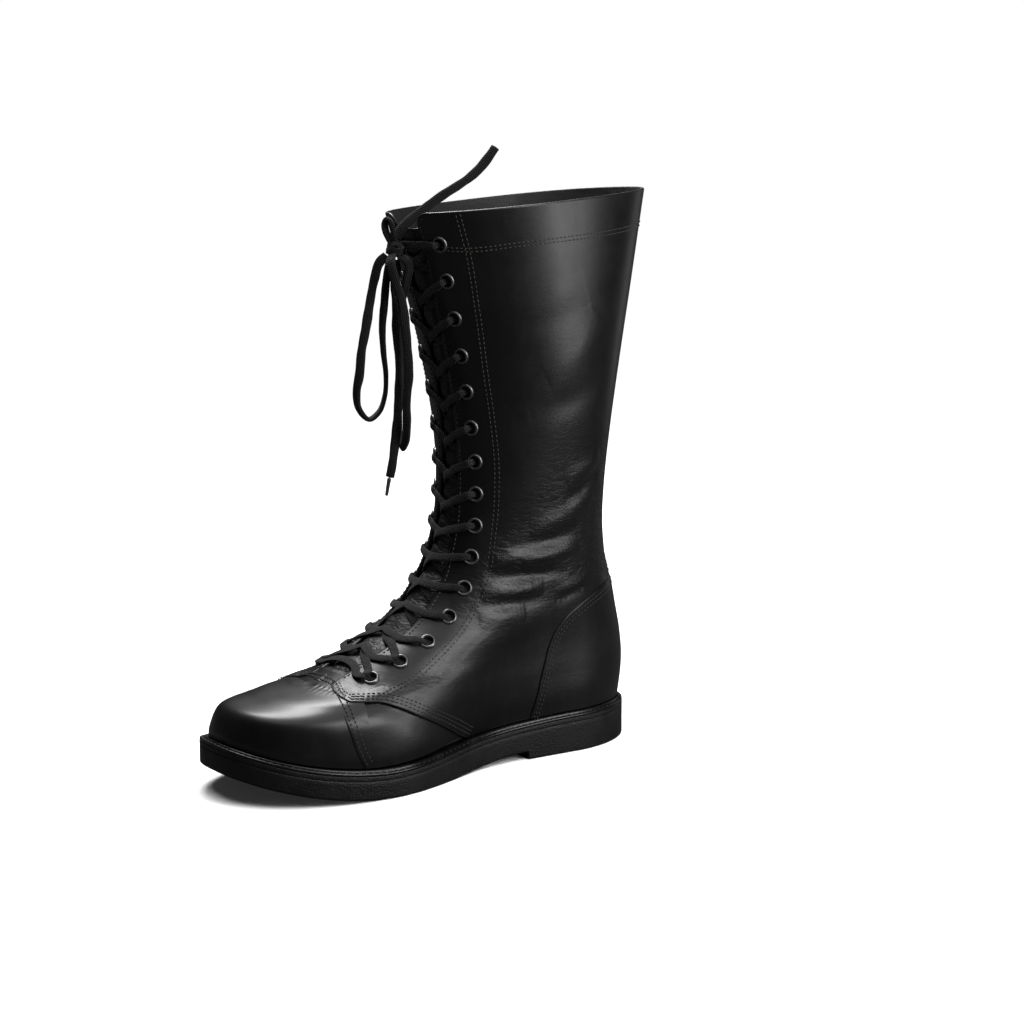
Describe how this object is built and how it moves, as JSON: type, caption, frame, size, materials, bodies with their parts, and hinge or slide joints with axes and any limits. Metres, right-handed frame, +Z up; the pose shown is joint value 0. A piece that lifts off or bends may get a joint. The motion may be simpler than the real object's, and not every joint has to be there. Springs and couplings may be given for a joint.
{
  "type": "wrestling boot",
  "caption": "Tall lace-up wrestling boot with a low rubber sole, welt, hollow leather upper open at the collar and down the front, tongue, insole, eyelets and a tied lace.",
  "frame": {"origin": "on the floor, in the middle of the boot's box without its loose lace", "axes": "+Z up along the shaft, -Y towards the toe, +X towards the medial (inner) side of this right boot"},
  "size_m": [0.1222, 0.3032, 0.3834],
  "materials": {
    "rubber": "satin black moulded rubber",
    "leather": "smooth polished black leather",
    "insole_board": "matt dark lining on board",
    "eyelet_metal": "gloss black-plated brass",
    "lace_fabric": "woven flat cotton, black"
  },
  "bodies": {
    "root": {"outsole": "rubber", "welt": "rubber", "insole": "insole_board", "upper": "leather", "tongue": "leather", "eyelet_medial_01": "eyelet_metal", "eyelet_medial_02": "eyelet_metal", "eyelet_medial_03": "eyelet_metal", "eyelet_medial_04": "eyelet_metal", "eyelet_medial_05": "eyelet_metal", "eyelet_medial_06": "eyelet_metal", "eyelet_medial_07": "eyelet_metal", "eyelet_medial_08": "eyelet_metal", "eyelet_medial_09": "eyelet_metal", "eyelet_medial_10": "eyelet_metal", "eyelet_medial_11": "eyelet_metal", "eyelet_medial_12": "eyelet_metal", "eyelet_medial_13": "eyelet_metal", "eyelet_medial_14": "eyelet_metal", "eyelet_medial_15": "eyelet_metal", "eyelet_lateral_01": "eyelet_metal", "eyelet_lateral_02": "eyelet_metal", "eyelet_lateral_03": "eyelet_metal", "eyelet_lateral_04": "eyelet_metal", "eyelet_lateral_05": "eyelet_metal", "eyelet_lateral_06": "eyelet_metal", "eyelet_lateral_07": "eyelet_metal", "eyelet_lateral_08": "eyelet_metal", "eyelet_lateral_09": "eyelet_metal", "eyelet_lateral_10": "eyelet_metal", "eyelet_lateral_11": "eyelet_metal", "eyelet_lateral_12": "eyelet_metal", "eyelet_lateral_13": "eyelet_metal", "eyelet_lateral_14": "eyelet_metal", "eyelet_lateral_15": "eyelet_metal", "lace_crossing_01": "lace_fabric", "lace_crossing_02": "lace_fabric", "lace_crossing_03": "lace_fabric", "lace_crossing_04": "lace_fabric", "lace_crossing_05": "lace_fabric", "lace_crossing_06": "lace_fabric", "lace_crossing_07": "lace_fabric", "lace_crossing_08": "lace_fabric", "lace_crossing_09": "lace_fabric", "lace_crossing_10": "lace_fabric", "lace_crossing_11": "lace_fabric", "lace_crossing_12": "lace_fabric", "lace_crossing_13": "lace_fabric", "lace_crossing_14": "lace_fabric", "lace_bar_top": "lace_fabric", "lace_bar_bottom": "lace_fabric", "lace_knot": "lace_fabric", "lace_loop_large": "lace_fabric", "lace_loop_small": "lace_fabric", "lace_end_down": "lace_fabric", "lace_end_up": "lace_fabric", "lace_aglet": "eyelet_metal"}
  },
  "joints": []
}
